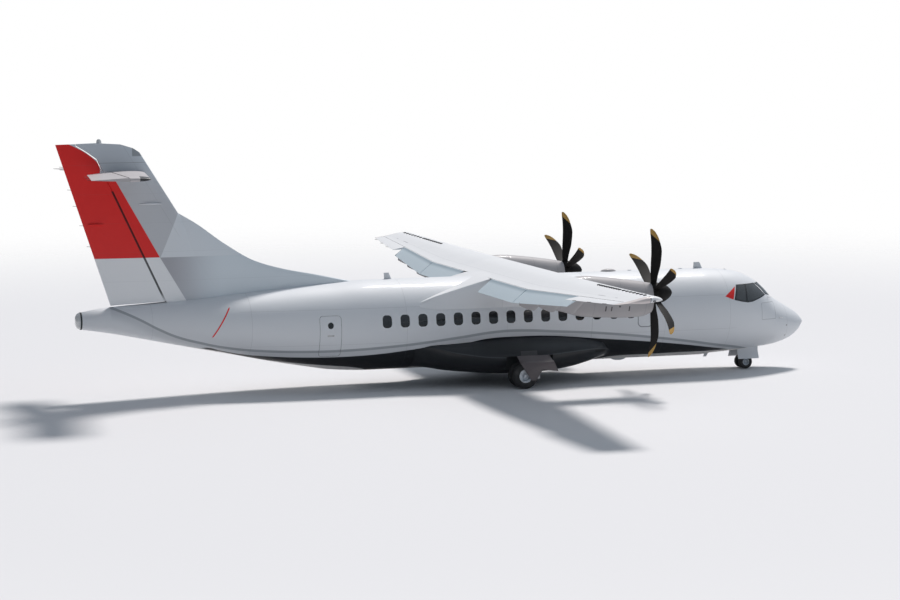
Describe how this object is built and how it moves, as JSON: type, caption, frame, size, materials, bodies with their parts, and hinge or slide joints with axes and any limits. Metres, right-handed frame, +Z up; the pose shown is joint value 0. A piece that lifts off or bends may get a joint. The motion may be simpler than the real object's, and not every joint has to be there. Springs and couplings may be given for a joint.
{
  "type": "turboprop airliner",
  "caption": "Twin-turboprop high-wing airliner with a red T-tail, dark belly, black six-blade propellers and lowered flaps, standing on its landing gear.",
  "frame": {"origin": "on the ground under the middle of the overall box", "axes": "+X forward, +Y to port, +Z up"},
  "size_m": [24.8657, 24.66, 7.87],
  "materials": {
    "white_paint": "gloss",
    "light_composite": "satin",
    "red_paint": "gloss",
    "charcoal_paint": "satin",
    "black_composite": "satin",
    "rubber": "matte",
    "wheel_alloy": "satin",
    "gear_steel": "satin",
    "engine_metal": "matte",
    "lamp_glass": "gloss"
  },
  "bodies": {
    "airframe": {"nose_section": "white_paint", "forward_fuselage": "white_paint", "centre_fuselage": "white_paint", "rear_fuselage": "white_paint", "tail_fuselage": "white_paint", "wing_fairing": "white_paint", "wing_centre": "white_paint", "wing_outer_left": "white_paint", "wing_outer_right": "white_paint", "service_door": "white_paint", "antenna_front": "white_paint", "antenna_rear": "white_paint", "nose_gear_door_left": "white_paint", "nose_gear_door_right": "white_paint", "nacelle_left": "light_composite", "nacelle_right": "light_composite", "fin": "red_paint", "tailplane": "red_paint", "gear_fairing_left": "charcoal_paint", "gear_fairing_right": "charcoal_paint", "engine_left": "engine_metal", "engine_right": "engine_metal", "main_leg_left": "gear_steel", "main_leg_right": "gear_steel", "main_leg_door_left": "gear_steel", "main_leg_door_right": "gear_steel", "nose_leg": "gear_steel", "tail_light": "lamp_glass"},
    "propeller_left_body": {"propeller_left": "black_composite", "spinner_left": "black_composite"},
    "main_wheels_left_body": {"main_left_hub": "wheel_alloy", "main_left_tyre_inner": "rubber", "main_left_tyre_outer": "rubber"},
    "propeller_right_body": {"propeller_right": "black_composite", "spinner_right": "black_composite"},
    "main_wheels_right_body": {"main_right_hub": "wheel_alloy", "main_right_tyre_inner": "rubber", "main_right_tyre_outer": "rubber"},
    "nose_steering_body": {"nose_fork": "gear_steel"},
    "nose_wheels_body": {"nose_hub": "wheel_alloy", "nose_tyre_left": "rubber", "nose_tyre_right": "rubber"},
    "inner_flap_left_body": {"inner_flap_left": "white_paint"},
    "outer_flap_left_body": {"outer_flap_left": "white_paint"},
    "inner_flap_right_body": {"inner_flap_right": "white_paint"},
    "outer_flap_right_body": {"outer_flap_right": "white_paint"},
    "aileron_left_body": {"aileron_left": "white_paint"},
    "aileron_right_body": {"aileron_right": "white_paint"},
    "rudder_body": {"rudder": "light_composite"},
    "elevator_body": {"elevator_left": "light_composite", "elevator_right": "light_composite"},
    "passenger_door_body": {"passenger_door": "white_paint"},
    "cargo_door_body": {"cargo_door": "white_paint"}
  },
  "joints": [
    {"name": "propeller_left_spin", "type": "hinge", "parent": "airframe", "child": "propeller_left_body", "pos_m": [5.467, 4.03, 3.07], "axis": [1, 0, 0], "continuous": true},
    {"name": "main_wheels_left_roll", "type": "hinge", "parent": "airframe", "child": "main_wheels_left_body", "pos_m": [1.847, 2.05, 0.4065], "axis": [0, 1, 0], "continuous": true},
    {"name": "propeller_right_spin", "type": "hinge", "parent": "airframe", "child": "propeller_right_body", "pos_m": [5.467, -4.03, 3.07], "axis": [1, 0, 0], "continuous": true},
    {"name": "main_wheels_right_roll", "type": "hinge", "parent": "airframe", "child": "main_wheels_right_body", "pos_m": [1.847, -2.05, 0.4065], "axis": [0, 1, 0], "continuous": true},
    {"name": "nose_steering", "type": "hinge", "parent": "airframe", "child": "nose_steering_body", "pos_m": [10.327, 0, 0.5], "axis": [0, 0, 1], "range_deg": [-60, 60]},
    {"name": "nose_wheels_roll", "type": "hinge", "parent": "nose_steering_body", "child": "nose_wheels_body", "pos_m": [10.327, 0, 0.225], "axis": [0, 1, 0], "continuous": true},
    {"name": "inner_flap_left_hinge", "type": "hinge", "parent": "airframe", "child": "inner_flap_left_body", "pos_m": [1.02275, 3.19, 3.36315], "axis": [0, 1, 0], "range_deg": [0, 28]},
    {"name": "outer_flap_left_hinge", "type": "hinge", "parent": "airframe", "child": "outer_flap_left_body", "pos_m": [1.1075, 6.935, 3.46664], "axis": [0.0416, 0.9978, 0.0507], "range_deg": [0, 28]},
    {"name": "inner_flap_right_hinge", "type": "hinge", "parent": "airframe", "child": "inner_flap_right_body", "pos_m": [1.02275, -3.19, 3.36315], "axis": [0, 1, 0], "range_deg": [0, 28]},
    {"name": "outer_flap_right_hinge", "type": "hinge", "parent": "airframe", "child": "outer_flap_right_body", "pos_m": [1.1075, -6.935, 3.46664], "axis": [-0.0416, 0.9978, -0.0507], "range_deg": [0, 28]},
    {"name": "aileron_left_hinge", "type": "hinge", "parent": "airframe", "child": "aileron_left_body", "pos_m": [1.25766, 10.535, 3.64644], "axis": [0.0417, 0.9979, 0.0487], "range_deg": [-14, 14]},
    {"name": "aileron_right_hinge", "type": "hinge", "parent": "airframe", "child": "aileron_right_body", "pos_m": [1.25766, -10.535, 3.64644], "axis": [-0.0417, 0.9979, -0.0487], "range_deg": [-14, 14]},
    {"name": "rudder_hinge", "type": "hinge", "parent": "airframe", "child": "rudder_body", "pos_m": [-10.1415, 0, 4.99], "axis": [-0.416, 0, 0.9093], "range_deg": [-27, 27]},
    {"name": "elevator_hinge", "type": "hinge", "parent": "airframe", "child": "elevator_body", "pos_m": [-10.833, 0, 6.93], "axis": [0, 1, 0], "range_deg": [-16, 23]},
    {"name": "passenger_door_hinge", "type": "hinge", "parent": "airframe", "child": "passenger_door_body", "pos_m": [-4.298, 1.06439, 1.15], "axis": [-0.9896, -0.1437, 0], "range_deg": [0, 118]},
    {"name": "cargo_door_hinge", "type": "hinge", "parent": "airframe", "child": "cargo_door_body", "pos_m": [7.9045, 1.23847, 2.68], "axis": [1, 0, 0], "range_deg": [0, 100]}
  ],
  "couplings": [
    {"joint": "aileron_right_hinge", "follows": "aileron_left_hinge", "ratio": -1},
    {"joint": "inner_flap_right_hinge", "follows": "inner_flap_left_hinge", "ratio": 1},
    {"joint": "outer_flap_left_hinge", "follows": "inner_flap_left_hinge", "ratio": 1},
    {"joint": "outer_flap_right_hinge", "follows": "inner_flap_left_hinge", "ratio": 1}
  ]
}
